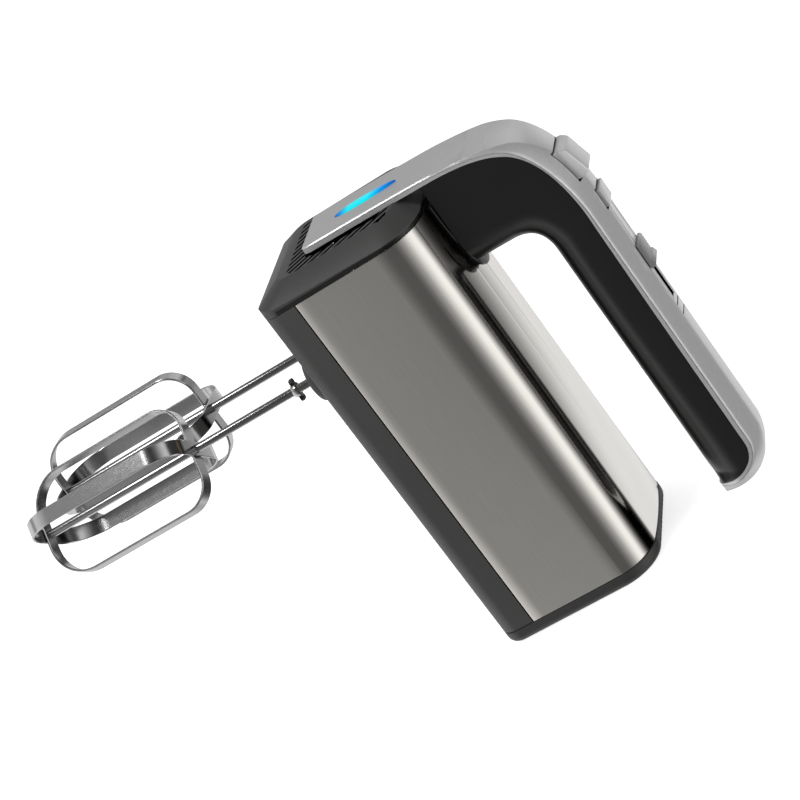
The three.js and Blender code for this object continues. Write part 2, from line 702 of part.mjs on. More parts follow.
// ---- gearbox -------------------------------------------------------------------------------
const GEARBOX = { half: 38, front: 20.5, rear: 59.5 };
const GEARBOX_POSTS = [[-36, 22.5], [36, 22.5], [-36, 57.5], [36, 57.5]];

function sleeveHoles(body) {
  let cut = body;
  for (const [, side] of SIDES) {
    cut = cut.subtract(rod(SLEEVE_RADIUS + 0.4, 10, 60, "z", side * BEATER_X, BEATER_Y));
  }
  return cut;
}

function gearCradle() {
  const { half, front, rear } = GEARBOX;
  let cradle = box(-half, half, front, rear, 22, 26);
  for (const [x, y] of BASE_SCREWS.slice(0, 2)) {
    cradle = cradle.add(rod(4.2, 14 + GAP, 23, "z", x, y, 16));
    cradle = cradle.subtract(rod(1.8, 10, 30, "z", x, y, 12));
  }
  for (const side of [-1, 1]) {
    cradle = cradle.add(box(side * 24 - 3, side * 24 + 3, rear - 5, rear, FLOOR, 23));
  }
  return sleeveHoles(cradle);
}

function gearCover() {
  const { half, front, rear } = GEARBOX;
  let cover = box(-half, half, front, rear, 44.5, 48);
  for (const [x, y] of GEARBOX_POSTS) {
    cover = cover.add(box(x - 2, x + 2, y - 2, y + 2, 26 + GAP, 45));
  }
  cover = cover.add(box(-7, 7, front, 26, MOTOR_Z - 7, 45));
  cover = cover.subtract(rod(5 + GAP, front - 1, 27, "y", 0, MOTOR_Z));
  return sleeveHoles(cover);
}

// ---- beaters -------------------------------------------------------------------------------
// Round-cornered loop in a plane through the beater's axis, inset for the nested one.
function cageOutline(inset) {
  const half = CAGE_RADIUS - inset;
  const [top, bottom] = [CAGE_TOP - inset, BEATER_TIP + inset];
  const [upper, lower] = [15 - inset, 20 - inset];
  const shape = new THREE.Shape();
  shape.moveTo(0, bottom);
  shape.absarc(half - lower, bottom + lower, lower, -Math.PI / 2, 0, false);
  shape.absarc(half - upper, top - upper, upper, 0, Math.PI / 2, false);
  shape.absarc(-half + upper, top - upper, upper, Math.PI / 2, Math.PI, false);
  shape.absarc(-half + lower, bottom + lower, lower, Math.PI, Math.PI * 1.5, false);
  return shape;
}

function cageStrip(inset, width) {
  const smooth = { curveSegments: 6 };
  const outer = extrude(cageOutline(inset), "y", -width / 2, width / 2, smooth);
  const hole = extrude(cageOutline(inset + STRIP_THICKNESS), "y", -width, width, smooth);
  return solid(outer).subtract(solid(hole));
}

function beater(name, side) {
  const place = (body) => move(body, side * BEATER_X, BEATER_Y, 0);
  const nest = STRIP_THICKNESS + GAP;
  const clear = rod(SHAFT_RADIUS + GAP, BEATER_TIP - 2, 0, "z", 0, 0, 12);
  const outer = cageStrip(0, STRIP_WIDTH).rotate([0, 0, PHASE[name] + 90]).subtract(clear);
  const inner = cageStrip(nest, STRIP_WIDTH).rotate([0, 0, PHASE[name]]).subtract(clear);
  add(`beater_${name}_outer_strip`, place(outer), "chrome");
  add(`beater_${name}_inner_strip`, place(inner), "chrome");
  const shaft = rod(SHAFT_RADIUS, BEATER_TIP + 0.5, SHAFT_TOP, "z", 0, 0, 16);
  add(`beater_${name}_shaft`, place(shaft), "chrome");
  const [low, high] = [COLLAR_Z - 1, COLLAR_Z + 1];
  const wings = box(-1.4, 1.4, -5.6, 5.6, low, high);
  const bore = rod(SHAFT_RADIUS + GAP, low - 1, high + 1, "z", 0, 0, 16);
  const collar = rod(3.4, low, high, "z", 0, 0, 16).add(wings).subtract(bore);
  add(`beater_${name}_collar`, place(collar), "chrome");
}

// ---- fasteners -----------------------------------------------------------------------------
function screw(x, y, headZ, tipZ, radius) {
  const profile = [
    [0, headZ], [radius * 1.9, headZ], [radius * 1.9, headZ + 2], [radius, headZ + 2],
    [radius, tipZ - 1], [0, tipZ],
  ];
  return turned(profile, "z", x, y, 12);
}

// ---- build ---------------------------------------------------------------------------------
add("steel_wrap", steelWrap(), "steel");
add("base_shell", baseShell(), "dark");
add("front_cover", frontCover(), "dark");
add("rear_cover", rearCover(), "dark");
add("handle_grip", handleGrip(), "black");
add("handle_top", handleTop(), "silver");
add("handle_saddle", handleSaddle(), "black");
add("light_bar", lightLens(0, PLATE_FRONT, PLATE_BACK - GAP), "glow");
add("led_board", box(-6, 6, -5.6, -4, 36, 70), "board");

add("eject_button", ejectButton(), "silver");
add("eject_yoke", ejectYoke(), "nylon");
add("eject_spring", ejectSpring(), "chrome");
add("turbo_button", turboButton(), "silver");
add("speed_slider", speedSlider(), "silver");
add("control_board", box(-12, 12, 36, 106, BOARD_Z, BOARD_Z + 1.6), "board");
add("turbo_switch", box(-3, 3, 37.5, 43.5, BOARD_Z + 1.9, 134), "carbon");
add("slide_switch", box(-6, 6, 70, 101, BOARD_Z + 1.9, 131), "carbon");

for (const [name, side] of SIDES) {
  add(`drive_gear_${name}`, driveGear(side), "nylon");
  const bush = tube(SLEEVE_RADIUS + 0.4, 8, BOSS_BOTTOM + 1, 6, "z", side * BEATER_X, BEATER_Y);
  add(`spindle_bush_${name}`, bush, "brass");
  beater(name, side);
  add(`brush_${name}`, brush(side), "carbon");
  add(`brush_holder_${name}`, brushHolder(side), "brass");
  add(`motor_bolt_${name}`, rod(1.6, 59.9, 156, "y", side * BOLT_X, MOTOR_Z, 12), "iron");
  const handleScrew = screw(side * HANDLE_SCREW.x, HANDLE_SCREW.y, 74.4, 86, HANDLE_SCREW.radius);
  add(`handle_screw_${name}`, handleScrew, "iron");
}
add("gear_cradle", gearCradle(), "nylon");
add("gear_cover", gearCover(), "nylon");

add("armature_shaft", armatureShaft(), "iron");
add("armature_core", armatureCore(), "iron");
add("armature_winding_front", winding(CORE_FRONT - 7, CORE_FRONT + 1 - GAP), "copper");
add("armature_winding_rear", winding(CORE_REAR - 1 + GAP, CORE_REAR + 7), "copper");
add("commutator", tube(AXLE_RADIUS + GAP, 8.6, 130, 142, "y", 0, MOTOR_Z), "copper");
add("cooling_fan", coolingFan(), "nylon");
const bearings = [["front", 21, 25.5], ["middle", 60.2, 65], ["rear", 149, 155]];
for (const [name, y0, y1] of bearings) {
  add(`bearing_${name}`, tube(AXLE_RADIUS + GAP, 5, y0, y1, "y", 0, MOTOR_Z, 20), "brass");
}
add("motor_bracket_front", bracket(61, 63.5, 5), "iron");
add("motor_bracket_rear", rearBracket(), "iron");
add("stator_core", statorCore(), "iron");
add("field_coil_upper", fieldCoil(1), "copper");
add("field_coil_lower", fieldCoil(-1), "copper");

BASE_SCREWS.forEach(([x, y], i) => {
  add(`base_screw_${i + 1}`, screw(x, y, 5.6, 20, 1.5), "iron");
});

// Stand the mixer on its tail: the heel's centre becomes the origin and the nose points up.
mixer.rotation.x = -SPIN;
mixer.position.set(0, -(BODY_TOP + BASE_BOTTOM) / 2, TAIL);
const part = new THREE.Group();
part.add(mixer);

export default part;
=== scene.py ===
import json
import math

import bmesh
import bpy
from mathutils import Matrix, Vector
from mathutils.geometry import interpolate_bezier


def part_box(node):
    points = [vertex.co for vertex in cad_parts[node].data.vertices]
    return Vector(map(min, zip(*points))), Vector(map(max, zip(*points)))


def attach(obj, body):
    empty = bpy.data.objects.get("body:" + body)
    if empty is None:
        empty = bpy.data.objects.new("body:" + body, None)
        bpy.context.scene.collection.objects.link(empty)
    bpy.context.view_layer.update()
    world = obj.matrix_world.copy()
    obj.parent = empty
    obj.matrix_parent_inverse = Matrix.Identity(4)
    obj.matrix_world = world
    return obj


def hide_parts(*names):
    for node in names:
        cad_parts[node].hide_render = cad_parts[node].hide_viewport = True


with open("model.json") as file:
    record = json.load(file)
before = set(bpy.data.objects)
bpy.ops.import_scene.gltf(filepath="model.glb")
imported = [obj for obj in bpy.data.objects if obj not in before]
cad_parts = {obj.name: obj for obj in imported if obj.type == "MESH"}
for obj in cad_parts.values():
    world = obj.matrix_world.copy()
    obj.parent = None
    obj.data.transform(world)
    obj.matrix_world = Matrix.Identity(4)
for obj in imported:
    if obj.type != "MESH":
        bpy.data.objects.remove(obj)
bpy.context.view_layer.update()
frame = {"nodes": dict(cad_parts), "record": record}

MM = 0.001
GAP = 0.3  # clearance between neighbouring pieces, as in the CAD

# ---- sizes taken from the frame ------------------------------------------------------------
BODY_TOP = 78.0  # height of the steel's top in the drawing
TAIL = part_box("steel_wrap")[1].z / MM + GAP  # y of the heel, counted from the steel's front edge
MIDDLE = BODY_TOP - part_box("steel_wrap")[1].y / MM  # height of the frame's origin


def working_box(node):
    """Low and high corners of a CAD node in the working attitude, in mm."""
    low, high = (Vector(corner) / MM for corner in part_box(node))
    return (
        Vector((low.x, TAIL - high.z, low.y + MIDDLE)),
        Vector((high.x, TAIL - low.z, high.y + MIDDLE)),
    )


def middle_of(node):
    """Middle of a CAD node seen from above, as (x, y)."""
    low, high = working_box(node)
    return (low.x + high.x) / 2, (low.y + high.y) / 2


BODY_HALF = working_box("steel_wrap")[1].x
BASE_BOTTOM = working_box("rear_cover")[0].z
WRAP_FRONT = working_box("steel_wrap")[0].y
WRAP_REAR = working_box("steel_wrap")[1].y
WRAP_BOTTOM = working_box("steel_wrap")[0].z
NOSE_FACE = working_box("front_cover")[0].y
HANDLE_HALF = working_box("handle_top")[1].x
PLATE_BOTTOM = working_box("handle_top")[0].z
HANDLE_END = working_box("handle_top")[1].y
CROWN_TOP = working_box("handle_top")[1].z
SADDLE_BOTTOM = working_box("handle_saddle")[0].z
SADDLE_TOP = working_box("handle_saddle")[1].z
STAND = Matrix.Translation((0, -MIDDLE * MM, TAIL * MM)) @ Matrix.Rotation(-math.pi / 2, 4, "X")
STAND = STAND @ Matrix.Scale(MM, 4)


# ---- mesh helpers --------------------------------------------------------------------------
def arc(cx, cy, radius, start, end, steps):
    """Points on a circle from start to end, in degrees."""
    angles = [math.radians(start + (end - start) * i / steps) for i in range(steps + 1)]
    return [(cx + radius * math.cos(a), cy + radius * math.sin(a)) for a in angles]


def bezier(knots, steps):
    """Points along a chain of cubic curves, given as knot, handle, handle, knot, handle, ..."""
    points = []
    for i in range(0, len(knots) - 1, 3):
        span = [Vector((*k, 0)) for k in knots[i : i + 4]]
        piece = [(p.x, p.y) for p in interpolate_bezier(*span, steps + 1)]
        points += piece if not points else piece[1:]
    return points


def mesh_object(name, points, faces):
    """Object from points and faces, with doubled points merged and faces turned outwards."""
    mesh = bpy.data.meshes.new(name)
    mesh.from_pydata([Vector(p) for p in points], [], faces)
    bm = bmesh.new()
    bm.from_mesh(mesh)
    bmesh.ops.remove_doubles(bm, verts=bm.verts, dist=1e-4)
    bmesh.ops.recalc_face_normals(bm, faces=bm.faces)
    bm.to_mesh(mesh)
    bm.free()
    made = bpy.data.objects.new(name, mesh)
    bpy.context.scene.collection.objects.link(made)
    return made


def loft(name, rings, capped=True, looped=False):
    """Skin through closed rings of equally many points."""
    count = len(rings[0])
    points = [p for ring in rings for p in ring]
    faces = []
    spans = len(rings) if looped else len(rings) - 1
    for r in range(spans):
        a, b = r * count, ((r + 1) % len(rings)) * count
        for i in range(count):
            j = (i + 1) % count
            faces.append((a + i, a + j, b + j, b + i))
    if capped and not looped:
        faces.append(tuple(range(count)))
        faces.append(tuple(range((len(rings) - 1) * count, len(rings) * count)))
    return mesh_object(name, points, faces)


def prism(name, outline, axis, start, end):
    """Straight extrusion of a 2-D outline along x, y or z."""
    place = {
        "x": lambda u, v, w: (w, u, v),
        "y": lambda u, v, w: (u, w, v),
        "z": lambda u, v, w: (u, v, w),
    }[axis]
    return loft(name, [[place(u, v, w) for u, v in outline] for w in (start, end)])


def block(name, x, y, z):
    """Box between a low and a high value along each axis."""
    return prism(name, [(x[0], y[0]), (x[1], y[0]), (x[1], y[1]), (x[0], y[1])], "z", *z)


def shade_walled_block(x, y, z):
    """Block whose cut faces take a piece's second material, the black painted shade."""
    made = block("cavity", x, y, z)
    for material in (SILVER.material, PAINTED_SHADE.material):
        made.data.materials.append(material)
    for face in made.data.polygons:
        face.material_index = 1
    return made


def turned(name, profile, centre, steps=48):
    """Solid of revolution about an upright axis through centre; profile is (radius, z) pairs."""
    rings = []
    for i in range(steps):
        a = 2 * math.pi * i / steps
        x, y = math.cos(a), math.sin(a)
        rings.append([(centre[0] + r * x, centre[1] + r * y, z) for r, z in profile])
    return loft(name, rings, looped=True)


def settle(piece):
    """Turns the piece's modifiers into plain mesh."""
    graph = bpy.context.evaluated_depsgraph_get()
    mesh = bpy.data.meshes.new_from_object(piece.evaluated_get(graph))
    piece.modifiers.clear()
    piece.data = mesh
    return piece


def soften(piece, width, segments=3, angle=30):
    """Rounds every edge sharper than angle."""
    bevel = piece.modifiers.new("edges", "BEVEL")
    bevel.width = width
    bevel.segments = segments
    bevel.limit_method = "ANGLE"
    bevel.angle_limit = math.radians(angle)
    return settle(piece)


def combine(piece, other, operation="DIFFERENCE"):
    """Cuts, joins or intersects the piece with another, which is used up."""
    boolean = piece.modifiers.new("boolean", "BOOLEAN")
    boolean.operation = operation
    boolean.solver = "EXACT"
    boolean.object = other
    settle(piece)
    bpy.data.objects.remove(other)
    return piece


def join(name, pieces):
    """One object from several, left as they are."""
    bm = bmesh.new()
    for piece in pieces:
        bm.from_mesh(piece.data)
        bpy.data.objects.remove(piece)
    mesh = bpy.data.meshes.new(name)
    bm.to_mesh(mesh)
    bm.free()
    made = bpy.data.objects.new(name, mesh)
    bpy.context.scene.collection.objects.link(made)
    return made


def finish_piece(piece, body, material, stands_for=(), sharp=35):
    """Stands the piece up in the frame and ties it to its body, finish and CAD nodes."""
    piece.data.transform(STAND)
    piece.data.polygons.foreach_set("use_smooth", [True] * len(piece.data.polygons))
    piece.data.set_sharp_from_angle(angle=math.radians(sharp))
    if not piece.data.materials:
        piece.data.materials.append(material)
    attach(piece, body)
    if stands_for:
        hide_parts(*stands_for)
    return piece


# ---- materials -----------------------------------------------------------------------------
class Surface:
    """A Principled material with the few procedural layers that the mixer's surfaces share."""

    def __init__(self, name, colour, roughness, metallic=0.0):
        self.material = bpy.data.materials.new(name)
        self.material.use_nodes = True
        self.tree = self.material.node_tree
        self.shader = self.tree.nodes["Principled BSDF"]
        self.shader.inputs["Base Color"].default_value = (*colour, 1)
        self.shader.inputs["Roughness"].default_value = roughness
        self.shader.inputs["Metallic"].default_value = metallic
        self.colour = colour
        self.roughness = roughness

    def node(self, kind, **settings):
        made = self.tree.nodes.new(kind)
        for key, value in settings.items():
            if hasattr(made, key):
                setattr(made, key, value)
            else:
                made.inputs[key].default_value = value
        return made

    def noise(self, scale, stretch=(1, 1, 1), detail=3.0):
        """Noise over the piece itself; stretch squeezes it along the frame's axes."""
        place = self.node("ShaderNodeTexCoord")
        mapping = self.node("ShaderNodeMapping", Scale=stretch)
        noise = self.node("ShaderNodeTexNoise", Scale=scale, Detail=detail)
        self.tree.links.new(place.outputs["Object"], mapping.inputs["Vector"])
        self.tree.links.new(mapping.outputs["Vector"], noise.inputs["Vector"])
        return noise.outputs["Fac"]

    def spread(self, factor, low, high):
        """Noise stretched to run from low to high."""
        ramp = self.node("ShaderNodeMapRange")
        ramp.inputs["From Min"].default_value = 0.3
        ramp.inputs["From Max"].default_value = 0.7
        ramp.inputs["To Min"].default_value = low
        ramp.inputs["To Max"].default_value = high
        self.tree.links.new(factor, ramp.inputs["Value"])
        return ramp.outputs["Result"]

    def vary_roughness(self, factor, amount):
        result = self.spread(factor, self.roughness - amount, self.roughness + amount)
        self.tree.links.new(result, self.shader.inputs["Roughness"])
        return self

    def vary_colour(self, factor, amount):
        mix = self.node("ShaderNodeMix", data_type="RGBA")
        darker = [c * (1 - amount) for c in self.colour]
        lighter = [min(1, c * (1 + amount)) for c in self.colour]
        colour_sockets = [s for s in mix.inputs if s.type == "RGBA"]
        colour_sockets[0].default_value = (*darker, 1)
        colour_sockets[1].default_value = (*lighter, 1)
        self.tree.links.new(self.spread(factor, 0, 1), mix.inputs["Factor"])
        result = [s for s in mix.outputs if s.type == "RGBA"][0]
        self.tree.links.new(result, self.shader.inputs["Base Color"])
        return self

    def emboss(self, factor, strength, distance):
        bump = self.node("ShaderNodeBump", Strength=strength, Distance=distance)
        self.tree.links.new(factor, bump.inputs["Height"])
        self.tree.links.new(bump.outputs["Normal"], self.shader.inputs["Normal"])
        return self


def plastic(name, colour, roughness, grain=0.15):
    """Moulded plastic with a fine spark-eroded grain."""
    made = Surface(name, colour, roughness)
    made.vary_roughness(made.noise(900), 0.04)
    made.vary_colour(made.noise(60), 0.05)
    return made.emboss(made.noise(2600, detail=2.0), grain, 0.00005)


def metal(name, colour, roughness, stretch=(1, 1, 1), streak=0.04, relief=0.05, metallic=1.0):
    """Metal with a fine grain, which an uneven stretch draws into brushing."""
    made = Surface(name, colour, roughness, metallic)
    made.vary_roughness(made.noise(1500, stretch), streak)
    made.vary_colour(made.noise(500, stretch), 0.03)
    return made.emboss(made.noise(2500, stretch), relief, 0.00002)


STEEL = metal("brushed_steel", (0.56, 0.54, 0.51), 0.13, (6, 6, 0.15), 0.02, 0.05)
CHROME = metal("polished_strip", (0.42, 0.42, 0.42), 0.2, streak=0.02, relief=0.02)
SILVER = metal("satin_silver", (0.54, 0.54, 0.54), 0.32, streak=0.03, relief=0.12, metallic=0.45)
SLIDER_SILVER = metal("satin_silver_slider", (0.34, 0.34, 0.34), 0.32, relief=0.12, metallic=0.45)
DARK = plastic("dark_moulding", (0.042, 0.042, 0.041), 0.5)
# painted shade: a darker copy of the dark moulding for the tail cap, which turns away from the light
SHADED_TAIL_PLASTIC = plastic("tail_moulding_painted_shade", (0.030, 0.030, 0.029), 0.5)
BLACK = plastic("soft_touch_black", (0.003, 0.003, 0.003), 0.36, 0.05)
# painted shade: near-black for the walls of slots, gaps and openings, where shade falls
PAINTED_SHADE = plastic("painted_shade_black", (0.001, 0.001, 0.001), 0.9)
PAINTED_SHADE.shader.inputs["Specular IOR Level"].default_value = 0.05
WASHER = metal("blackened_washer", (0.03, 0.03, 0.03), 0.4)
NYLON = plastic("natural_nylon", (0.70, 0.67, 0.58), 0.55)
IRON = metal("machined_iron", (0.28, 0.28, 0.29), 0.42, streak=0.08, relief=0.2)
COPPER = metal("enamelled_copper", (0.62, 0.25, 0.10), 0.32, (1, 1, 9), 0.05, 0.3)
BRASS = metal("pressed_brass", (0.65, 0.49, 0.22), 0.3)
CARBON = plastic("pressed_carbon", (0.02, 0.02, 0.022), 0.7, 0.4)
BOARD = plastic("circuit_board", (0.02, 0.13, 0.06), 0.35, 0.05)


def fill_ramp(ramp, stops):
    """Stops for a colour ramp, as (position, colour)."""
    elements = ramp.color_ramp.elements
    while len(elements) > 1:
        elements.remove(elements[-1])
    for i, (position, colour) in enumerate(stops):
        element = elements[0] if i == 0 else elements.new(position)
        element.position = position
        element.color = (*colour, 1)


def glow_material():
    """Lens lit from behind: cyan in the middle of its length, blue at both ends."""
    made = Surface("lit_lens", (0.0, 0.02, 0.03), 0.3)
    made.shader.inputs["IOR"].default_value = 1.1
    low, high = (corner.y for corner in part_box("light_bar"))
    place = made.node("ShaderNodeTexCoord")
    split = made.node("ShaderNodeSeparateXYZ")
    along = made.node("ShaderNodeMapRange")
    along.inputs["From Min"].default_value = low
    along.inputs["From Max"].default_value = high
    ramp = made.node("ShaderNodeValToRGB")
    fill_ramp(ramp, [
        (0.0, (0.0, 0.05, 0.25)), (0.10, (0.0, 0.20, 0.65)), (0.24, (0.0, 0.78, 0.86)),
        (0.55, (0.0, 0.80, 0.92)), (0.78, (0.0, 0.28, 0.80)), (1.0, (0.0, 0.08, 0.45)),
    ])
    links = made.tree.links
    links.new(place.outputs["Object"], split.inputs["Vector"])
    links.new(split.outputs["Y"], along.inputs["Value"])
    links.new(along.outputs["Result"], ramp.inputs["Fac"])
    links.new(ramp.outputs["Color"], made.shader.inputs["Emission Color"])
    made.shader.inputs["Emission Strength"].default_value = 1.0
    return made


GLOW = glow_material()

SLOT_SURFACES = {
    "steel": STEEL, "dark_plastic": DARK, "black_plastic": BLACK, "silver": SILVER,
    "chrome": CHROME, "glow": GLOW, "nylon": NYLON, "iron": IRON, "copper": COPPER,
    "brass": BRASS, "carbon": CARBON, "board": BOARD,
}


def finish_cad_nodes():
    """Gives every CAD node the procedural surface of its slot."""
    slots = {entry["node"]: entry["material_slot"] for entry in frame["record"]["subparts"]}
    for name, node in frame["nodes"].items():
        node.data.materials.clear()
        node.data.materials.append(SLOT_SURFACES[slots[name]].material)


# ---- casing --------------------------------------------------------------------------------
SHOULDER = 20.0  # radius between the body's side and top
BASE_CORNER = 8.0  # radius between its side and bottom
WALL = 2.4  # thickness of the plastic mouldings
SHEET = 0.8  # thickness of the steel
# The nose's flat face, with rounder upper corners than the CAD's, and the full body section.
FACE = {"half": 31.5, "bottom": 7.3, "top": 69.0, "shoulder": 12.0, "corner": 7.0}
RIM = {
    "half": BODY_HALF, "bottom": BASE_BOTTOM, "top": BODY_TOP,
    "shoulder": SHOULDER, "corner": BASE_CORNER,
}
ARC_STEPS = 20  # steps round each corner of a section


def section(half, bottom, top, shoulder, corner, y, inset=0.0):
    """Ring around the body: wide shoulders above, tighter corners below."""
    half, bottom, top = half - inset, bottom + inset, top - inset
    shoulder, corner = max(shoulder - inset, 0.5), max(corner - inset, 0.5)
    outline = arc(half - corner, bottom + corner, corner, -90, 0, ARC_STEPS)
    outline += arc(half - shoulder, top - shoulder, shoulder, 0, 90, ARC_STEPS)
    outline += arc(-half + shoulder, top - shoulder, shoulder, 90, 180, ARC_STEPS)
    outline += arc(-half + corner, bottom + corner, corner, 180, 270, ARC_STEPS)
    return [(x, y, z) for x, z in outline]


def body_bar(name, inset, start, end):
    """Straight bar with the body's section, from one y to another."""
    return loft(name, [section(**RIM, y=y, inset=inset) for y in (start, end)])


def steel_outline(inset):
    """Half section of the wrap: bowed side, creased shoulder, gently crowned top."""
    crease, top_angle = 9, 83  # slope at both ends of the shoulder, degrees
    rise = 0.6  # height of the crown's middle above BODY_TOP
    crown, bow = 1.0, 0.35  # how far the top and the side curve
    side_steps, shoulder_steps, top_steps = 8, 30, 24
    radius = SHOULDER - inset
    side, top = BODY_HALF - inset, BODY_TOP + rise - inset
    centre_z = BODY_TOP + rise - crown - SHOULDER * math.sin(math.radians(top_angle))
    start_z = centre_z + radius * math.sin(math.radians(crease))
    points = []
    for i in range(side_steps + 1):
        t = i / side_steps
        points.append((side - bow * t * t, WRAP_BOTTOM + (start_z - WRAP_BOTTOM) * t))
    shoulder = arc(0, centre_z, radius, crease, top_angle, shoulder_steps)
    shift = points[-1][0] - shoulder[0][0]
    points += [(x + shift, z) for x, z in shoulder[1:]]
    last_x, last_z = points[-1]
    for i in range(1, top_steps + 1):
        t = i / top_steps
        points.append((last_x * (1 - t), last_z + (top - last_z) * (1 - (1 - t) ** 2)))
    return points


def steel_wrap():
    """Bent steel sheet, open below, with a hole where the handle's leg passes through."""
    outer, inner = steel_outline(0), steel_outline(SHEET)
    outer += [(-x, z) for x, z in reversed(outer[:-1])]
    inner += [(-x, z) for x, z in reversed(inner[:-1])]
    front, rear = WRAP_FRONT, WRAP_REAR
    rings = []
    for (xo, zo), (xi, zi) in zip(outer, inner):
        rings.append([(xo, front, zo), (xo, rear, zo), (xi, rear, zi), (xi, front, zi)])
    skin = loft("steel_skin", rings)
    leg = block("cut", (-8, 8), (7, 29), (BODY_TOP - 10, BODY_TOP + 5))
    combine(skin, leg)
    soften(skin, 0.25, 2, 50)
    return finish_piece(skin, "housing", STEEL.material, ["steel_wrap"], 25)


def base_shell():
    """Lower moulding: an open tray with two beater bosses and four screw recesses."""
    beyond, wide = 5, 60  # how far the cutters pass the shell, and their half width
    rim, recess_top, recess_radius = 11.5, 8, 3.4  # radius of a boss, size of a screw recess
    bottom = working_box("base_shell")[0].z
    shell = body_bar("base_moulding", 0, WRAP_FRONT, WRAP_REAR)
    soften(shell, 0.5, 2, 50)
    combine(shell, body_bar("cut", WALL, -beyond, WRAP_REAR + beyond))
    above = (WRAP_BOTTOM - 0.6, 120)
    combine(shell, block("cut", (-wide, wide), (-beyond, WRAP_REAR + beyond), above))
    for side in ("left", "right"):
        bush = f"spindle_bush_{side}"
        low, high = working_box(bush)
        socket = (high.x - low.x) / 2 + GAP
        boss = turned("boss", [
            (socket, 6), (socket, bottom + 0.8), (socket + 0.8, bottom), (rim - 1.6, bottom),
            (rim - 0.5, bottom + 0.5), (rim, bottom + 1.6), (rim, BASE_BOTTOM + 3),
            (socket, BASE_BOTTOM + 3),
        ], middle_of(bush), 64)
        hole = [(0.01, bottom), (rim - 0.2, bottom), (rim - 0.2, 4), (0.01, 4)]
        combine(shell, turned("cut", hole, middle_of(bush), 64))
        combine(shell, boss, "UNION")
    under = BASE_BOTTOM - 1
    recess = [(0.01, under), (recess_radius, under), (recess_radius, recess_top), (0.01, recess_top)]
    for node in [n for n in frame["nodes"] if n.startswith("base_screw")]:
        combine(shell, turned("cut", recess, middle_of(node), 32))
    return finish_piece(shell, "housing", DARK.material, ["base_shell"], 30)


def nose_slots():
    """Slanted slots and the trough they run into, either side of the silver strip; the trough stands in
    for the strip's shadow, and their walls are painted black as painted shade.
    """
    slant = math.radians(41)
    width, pitch, length = 2.3, 6.0, 90
    first, low = 24.5, 13.0  # lower end of the slot nearest the left corner
    along = Vector((-math.sin(slant), 0, math.cos(slant))) * length
    across = Vector((math.cos(slant), 0, math.sin(slant))) * (width / 2)
    slots = []
    for i in range(-9, 9):
        end = Vector((first + i * pitch, 0, low))
        corners = [end - along - across, end - along + across]
        corners += [end + along + across, end + along - across]
        outline = [(corner.x, corner.z) for corner in corners]
        slots.append(prism("slot", outline, "y", NOSE_FACE - 2, NOSE_FACE + 4))
    field = [(-27, low), (27.5, low), (31, low + 5), (31, 66), (-27, 66)]
    area = prism("field", field, "y", NOSE_FACE - 1, NOSE_FACE + 3.5)
    combine(area, block("cover", (-16, 16), (NOSE_FACE - 3, NOSE_FACE + 5), (27, 90)))
    slots = combine(join("slots", slots), area, "INTERSECT")
    for side in (-1, 1):
        shadow_trough = [(side * x, z) for x, z in ((15, 22), (20, 22), (24.5, 28), (24.5, 60), (15, 66))]
        combine(slots, prism("shadow_trough", shadow_trough, "y", NOSE_FACE - 1.5, NOSE_FACE + 3), "UNION")
    # painted shade: every wall of the slots and trough takes the near-black material
    slots.data.materials.append(DARK.material)
    slots.data.materials.append(PAINTED_SHADE.material)
    slots.data.polygons.foreach_set("material_index", [1] * len(slots.data.polygons))
    return slots


def nose_rim(y, inset=0.0):
    """Rim of the nose: recessed only beside the steel, and reaching forward below it."""
    outer, inner = section(**RIM, y=y), section(**RIM, y=y, inset=inset)
    lead, below = 3.0, WRAP_BOTTOM - 3  # how far it reaches forward, and where that starts
    ring = []
    for (x, _, z), recessed in zip(outer, inner):
        drop = min(max((below - z) / (below - BASE_BOTTOM), 0), 1)
        if inset:
            ring.append(recessed if z > WRAP_BOTTOM else (x, y, z))
        else:
            ring.append((x, y - lead * drop ** 1.4, z))
    return ring


def front_cover():
    """Vented nose: broad bevels round a flat face, and a recessed band against the steel, painted black
    as painted shade.
    """
    rim, step = -2.2, 0.9  # y of the rim, depth of the band
    rings = [section(**FACE, y=NOSE_FACE), nose_rim(rim), nose_rim(rim + 0.4)]
    rings += [nose_rim(rim + 0.4, step), nose_rim(0.2, step)]
    cover = loft("nose_cover", rings)
    soften(cover, 0.35, 3, 22)
    hollow = [section(**RIM, y=0.5, inset=WALL), section(**RIM, y=rim + 0.6, inset=WALL)]
    hollow.append(section(**FACE, y=NOSE_FACE + WALL, inset=2))
    combine(cover, loft("cut", hollow))
    for finish in (DARK, PAINTED_SHADE, BLACK):
        cover.data.materials.append(finish.material)
    for face in cover.data.polygons:
        if face.center.y > rim + 0.3 and face.center.z > WRAP_BOTTOM:
            face.material_index = 2  # the band, in BLACK as painted shade
    combine(cover, nose_slots())
    return finish_piece(cover, "housing", DARK.material, ["front_cover"], 25)


